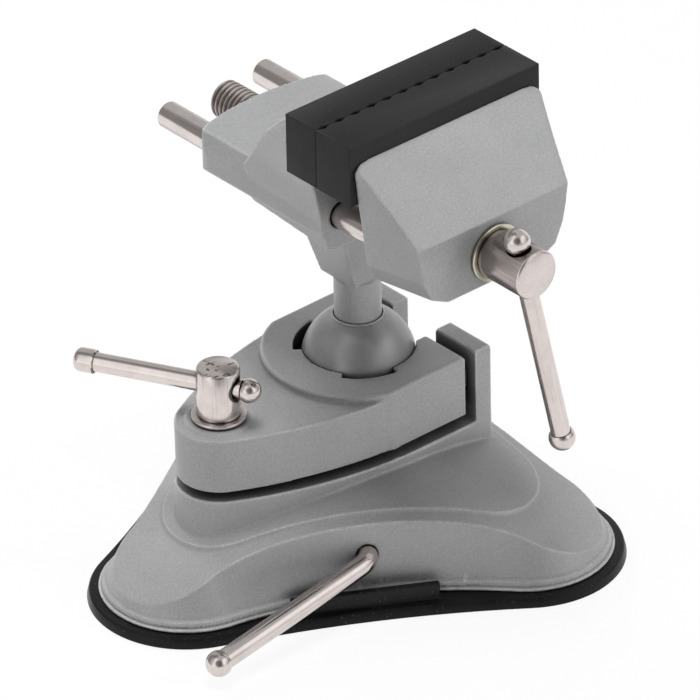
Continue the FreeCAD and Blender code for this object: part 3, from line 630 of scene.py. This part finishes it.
lead = {"x": 9.0, "z": 115.65, "radius": 5.9, "core": 5.05, "pitch": 1.75, "from": -36.4, "to": 58.5,
        "clipFrom": -37.7, "clipTo": -36.5, "clipNeck": 4.91, "washerFoot": -61.4, "washer": 8.95,
        "washerHeight": 1.2, "head": 7.5, "headLength": 17.0, "chamfer": 0.7, "endTaper": 0.9}
leadBar = {"radius": 2.9, "angle": -77.0, "fromEnd": 6.1, "short": 9.9, "long": 64.6, "ball": 3.95, "seat": 0.6,
           "hole": 3.02, "sink": 5.3, "sinkDepth": 2.4}
rods = {"radius": 4.1, "spacing": 36.4, "from": -54.0, "to": 62.4, "chamfer": 0.5}


def leadThread():
    # one tooth wound along the core
    radius, core, pitch = lead["radius"], lead["core"], lead["pitch"]
    pick()
    bpy.ops.mesh.primitive_plane_add(size=1)
    thread = bpy.context.object
    thread.name = "leadThread"
    thread.rotation_euler = (math.pi / 2, 0, 0)
    thread.scale = ((radius - core + 0.2) * mm, pitch * 0.94 * mm, 1)
    thread.location = ((radius + core - 0.2) / 2 * mm, 0, 0)
    settle(thread)
    bpy.ops.object.mode_set(mode="EDIT")
    bpy.ops.mesh.select_all(action="SELECT")
    bpy.ops.mesh.delete(type="ONLY_FACE")
    bpy.ops.object.mode_set(mode="OBJECT")
    for vertex in thread.data.vertices:
        if vertex.co.x > (radius - 0.1) * mm:
            vertex.co.z *= 0.14
    turns = int((lead["to"] - lead["from"]) / pitch) + 3
    modify(thread, "SCREW", axis="Z", screw_offset=pitch * mm, iterations=turns, steps=48, render_steps=48,
           use_merge_vertices=False)
    applyAll(thread)
    thread.rotation_euler = (-math.pi / 2, 0, 0)
    thread.location = (lead["x"] * mm, (lead["from"] - pitch) * mm, lead["z"] * mm)
    settle(thread)
    bpy.ops.object.mode_set(mode="EDIT")
    for end, outer in ((lead["from"], False), (lead["to"], True)):
        bpy.ops.mesh.select_all(action="SELECT")
        bpy.ops.mesh.bisect(plane_co=(0, end * mm, 0), plane_no=(0, 1, 0), use_fill=True, clear_outer=outer,
                            clear_inner=not outer)
    bpy.ops.mesh.select_all(action="SELECT")
    bpy.ops.mesh.normals_make_consistent(inside=False)
    bpy.ops.object.mode_set(mode="OBJECT")
    return thread


def leadScrew():
    start, head, bevel = lead["washerFoot"], lead["head"], lead["chamfer"]
    front = start - lead["headLength"]
    radius, core = lead["radius"], lead["core"]
    profile = [(head - bevel, front), (head - bevel * 0.4, front + bevel * 0.4), (head, front + bevel),
               (head, start - 0.2), (head - 0.2, start), (radius, start), (radius, lead["clipFrom"]),
               (lead["clipNeck"], lead["clipFrom"]), (lead["clipNeck"], lead["clipTo"]), (core, lead["clipTo"]),
               (core, lead["to"])]
    screw = turned("leadScrew", profile, (lead["x"], 0, lead["z"]), (0, 1, 0))
    angle = math.radians(leadBar["angle"])
    way = Vector((math.cos(angle), 0, math.sin(angle)))
    middle = Vector((lead["x"], front + leadBar["fromEnd"], lead["z"]))
    wide, hole = leadBar["sink"], leadBar["hole"]
    deep = head - leadBar["sinkDepth"] / 2
    far = deep + leadBar["sinkDepth"]
    cutWith(screw, turned("sinkHole", [(wide + 2, -far - 2), (wide, -far), (hole, -deep), (hole, deep), (wide, far),
                                       (wide + 2, far + 2)], middle, way, sides=64))
    screw = joined(screw, leadThread())
    smooth(screw)
    for vertex in screw.data.vertices:
        rest = lead["to"] * mm - vertex.co.y
        if rest < lead["endTaper"] * mm:
            shrink = 1 - 0.13 * (1 - rest / (lead["endTaper"] * mm))
            vertex.co.x = lead["x"] * mm + (vertex.co.x - lead["x"] * mm) * shrink
            vertex.co.z = lead["z"] * mm + (vertex.co.z - lead["z"] * mm) * shrink
    height, wide, bore = lead["washerHeight"], lead["washer"], radius + 0.05
    washer = turned("leadWasher", [(bore, 0), (bore, height), (wide - 0.3, height), (wide, height - 0.3),
                                   (wide, 0.2), (wide - 0.2, 0)], (lead["x"], start, lead["z"]), (0, 1, 0), ring=True)
    seat = leadBar["ball"] * leadBar["seat"]
    bar = turned("leadBar", [(leadBar["radius"], 0), (leadBar["radius"], leadBar["short"] + leadBar["long"] - 2 * seat)],
                 middle - way * (leadBar["short"] - seat), way, sides=64)
    cut = -math.degrees(math.asin(leadBar["seat"]))
    upper = turned("leadBarUpperBall", ballSteps(leadBar["ball"], 0, cut), middle - way * leadBar["short"], -way, 64)
    lower = turned("leadBarLowerBall", ballSteps(leadBar["ball"], 0, cut), middle + way * leadBar["long"], way, 64)
    endPlate = platedSteel("leadNickel", steel["nickel"], 0.22, (0, 1, 0), 0.5)
    # a darker copy of the nickel for the head's side: painted shade, with denser drawn streaks
    shadedSidePlate = platedSteel("leadShadedSideNickel", steel["shadedNickel"], 0.24, (0, 1, 0), 0.8)
    barPlate = platedSteel("leadBarNickel", steel["nickel"], 0.16, way, 0.5)
    finishPiece(screw, endPlate, "lead", "plated_steel", "lead_screw")
    screw.data.materials.append(threadSteel())
    screw.data.materials.append(shadedSidePlate)
    # the head's side takes the darker copy as painted shade; its end and chamfer keep the lighter nickel as painted
    # light, a glint along the chamfer; the thread takes threadSteel
    for face in screw.data.polygons:
        away = math.hypot(face.center.x - lead["x"] * mm, face.center.z - lead["z"] * mm)
        if face.center.y > (lead["clipTo"] + 0.05) * mm:
            face.material_index = 1
        elif away > (head - 0.1) * mm or (front + bevel + 0.1) * mm < face.center.y < (start - 0.3) * mm:
            face.material_index = 2
    finishPiece(washer, yellow, "lead", "yellow_steel", "lead_washer")
    finishPiece(bar, barPlate, "lead_bar_body", "plated_steel", "lead_bar")
    finishPiece(upper, barPlate, "lead_bar_body", "plated_steel", "lead_bar_upper_ball")
    finishPiece(lower, barPlate, "lead_bar_body", "plated_steel", "lead_bar_lower_ball")


def guideRods():
    rodPlate = platedSteel("rodNickel", steel["nickel"], 0.15, (0, 1, 0), 0.4)
    radius, bevel = rods["radius"], rods["chamfer"]
    for side, name, node in ((-1, "guideRodLeft", "guide_rod_left"), (1, "guideRodRight", "guide_rod_right")):
        place = (lead["x"] + side * rods["spacing"] / 2, 0, lead["z"])
        rod = turned(name, [(radius, rods["from"]), (radius, rods["to"] - bevel),
                            (radius - bevel * 0.4, rods["to"] - bevel * 0.3), (radius - bevel, rods["to"])],
                     place, (0, 1, 0), sides=64)
        finishPiece(rod, rodPlate, "front_jaw", "plated_steel", node)


leadScrew()
guideRods()
print("lead screw and rods made")

for name in ("pad_stud", "lever_cam", "lever_clip", "lead_clip"):
    nodes[name].data.materials.clear()
    nodes[name].data.materials.append(plain)


studio = {"floor": 2.4, "floorShade": 0.92, "floorClear": 0.9, "floorMirror": 0.74, "world": 0.06, "mirror": 0.55,
          "lampSize": 0.4, "aim": (0, 0, 0.06),
          "lamps": {"topLamp": ((0, 0, 1.15), 7.8), "backLamp": ((0.1, 0.95, 0.6), 5.2),
                    "leftBackLamp": ((-0.6, 0.7, 0.6), 2.0), "rightLamp": ((0.6, -0.8, 0.5), 3.5),
                    "frontLamp": ((-0.1, -0.65, 0.9), 0.7), "leftLamp": ((-0.8, -0.55, 0.45), 0.9)},
          "diffuse": [((-0.553, -0.647, 0.525), (0.5, 1.0), (0.95, 0.75))],
          "bright": [((-0.86, -0.09, 0.48), (0.6, 0.0), (0.88, 0.65)), ((0.95, 0.3, 0.05), (0.8, 0.0), (0.95, 0.4)),
                     ((0.42, -0.78, 0.42), (0.8, 0.0), (0.93, 0.65))],
          "dim": [((-0.6, 0.68, 0.42), (0.72, 1.0), (0.84, 0.5)), ((-0.15, 0.3, 0.94), (0.93, 1.0), (0.98, 0.5)),
                  ((-0.553, -0.647, 0.525), (0.78, 1.0), (0.94, 0.2)),
                  ((0.75, -0.66, 0.0), (0.8, 1.0), (0.95, 0.6))]}


def backgroundRays(graph):
    # 1 for what the camera, polished metal and clear things look at directly
    rays = [graph.node("ShaderNodeLightPath", {}, {}, kind)
            for kind in ("Is Camera Ray", "Is Glossy Ray", "Is Transmission Ray")]
    return rays[0].most(rays[2]), rays[1]


def studioFloor():
    pick()
    bpy.ops.mesh.primitive_plane_add(size=studio["floor"], location=(0, 0, -0.0002))
    floor = bpy.context.object
    floor.name = "studioFloor"
    make = Finish("paleFloor")
    make.set(colour=grey(studio["floorShade"]), rough=0.8)
    seen, mirrored = backgroundRays(make)
    glow = make.node("ShaderNodeEmission", {}, {"Color": (1, 1, 1, 1), "Strength": 1.0})
    lit = Value(make, make.shader.outputs[0])
    clear = seen.most(mirrored * studio["floorMirror"]) * studio["floorClear"]
    both = make.node("ShaderNodeMixShader", {}, {0: clear, 1: lit, 2: glow})
    make.link(both, make.tree.nodes["Material Output"].inputs["Surface"])
    floor.data.materials.append(make.material)


def areaLamp(name, place, power):
    data = bpy.data.lights.new(name, "AREA")
    data.size = studio["lampSize"]
    data.energy = power
    lamp = bpy.data.objects.new(name, data)
    bpy.context.scene.collection.objects.link(lamp)
    lamp.location = Vector(place)
    lamp.rotation_mode = "QUATERNION"
    lamp.rotation_quaternion = (Vector(studio["aim"]) - Vector(place)).to_track_quat("-Z", "Y")
    lamp.visible_glossy = False


def studioWorld():
    # white room for the camera, with a dim side and a dim opening that polished steel picks up
    world = bpy.data.worlds.new("studioWorld")
    bpy.context.scene.world = world
    world.use_nodes = True
    make = Graph(world.node_tree)
    way = make.node("ShaderNodeTexCoord", {}, {}, "Generated")
    def zone(toward, outer, inner):
        return make.ramp(make.towards(way, toward), outer, inner)

    mirror, soft = studio["mirror"], studio["world"]
    for patch in studio["bright"]:
        mirror = zone(*patch) + mirror
    for patch in studio["dim"]:
        mirror = zone(*patch) * mirror
    for patch in studio["diffuse"]:
        soft = zone(*patch) * soft
    seen, mirrored = backgroundRays(make)
    strength = seen.most(mirrored * mirror + (1 - mirrored) * soft)
    back = world.node_tree.nodes["Background"]
    back.inputs["Color"].default_value = (1, 1, 1, 1)
    make.link(strength, back.inputs["Strength"])


studioFloor()
studioWorld()
for name, (place, power) in studio["lamps"].items():
    areaLamp(name, place, power)

shot = {"azimuth": -40.492, "elevation": 31.686, "roll": -1.147, "distance": 2775.58, "lens": 488.61,
        "middle": (9.0, 0.0, 47.55), "shift": (2.662, -6.684)}


def camera():
    azimuth, elevation, roll = (math.radians(shot[key]) for key in ("azimuth", "elevation", "roll"))
    back = Vector((math.sin(azimuth) * math.cos(elevation), -math.cos(azimuth) * math.cos(elevation),
                   math.sin(elevation)))
    right = Vector((math.cos(azimuth), math.sin(azimuth), 0))
    top = back.cross(right)
    rolledRight = math.cos(roll) * right + math.sin(roll) * top
    rolledTop = math.cos(roll) * top - math.sin(roll) * right
    data = bpy.data.cameras.new("mainCamera")
    data.sensor_width = 36
    data.lens = shot["lens"]
    data.clip_start = 0.1
    data.clip_end = 20
    eye = bpy.data.objects.new("mainCamera", data)
    bpy.context.scene.collection.objects.link(eye)
    bpy.context.scene.camera = eye
    aim = Vector(shot["middle"]) - rolledRight * shot["shift"][0] - rolledTop * shot["shift"][1]
    eye.location = (aim + back * shot["distance"]) * mm
    eye.rotation_mode = "QUATERNION"
    eye.rotation_quaternion = Matrix((rolledRight, rolledTop, back)).transposed().to_quaternion()


camera()
bpy.context.scene.view_settings.view_transform = "Standard"
print("studio made")
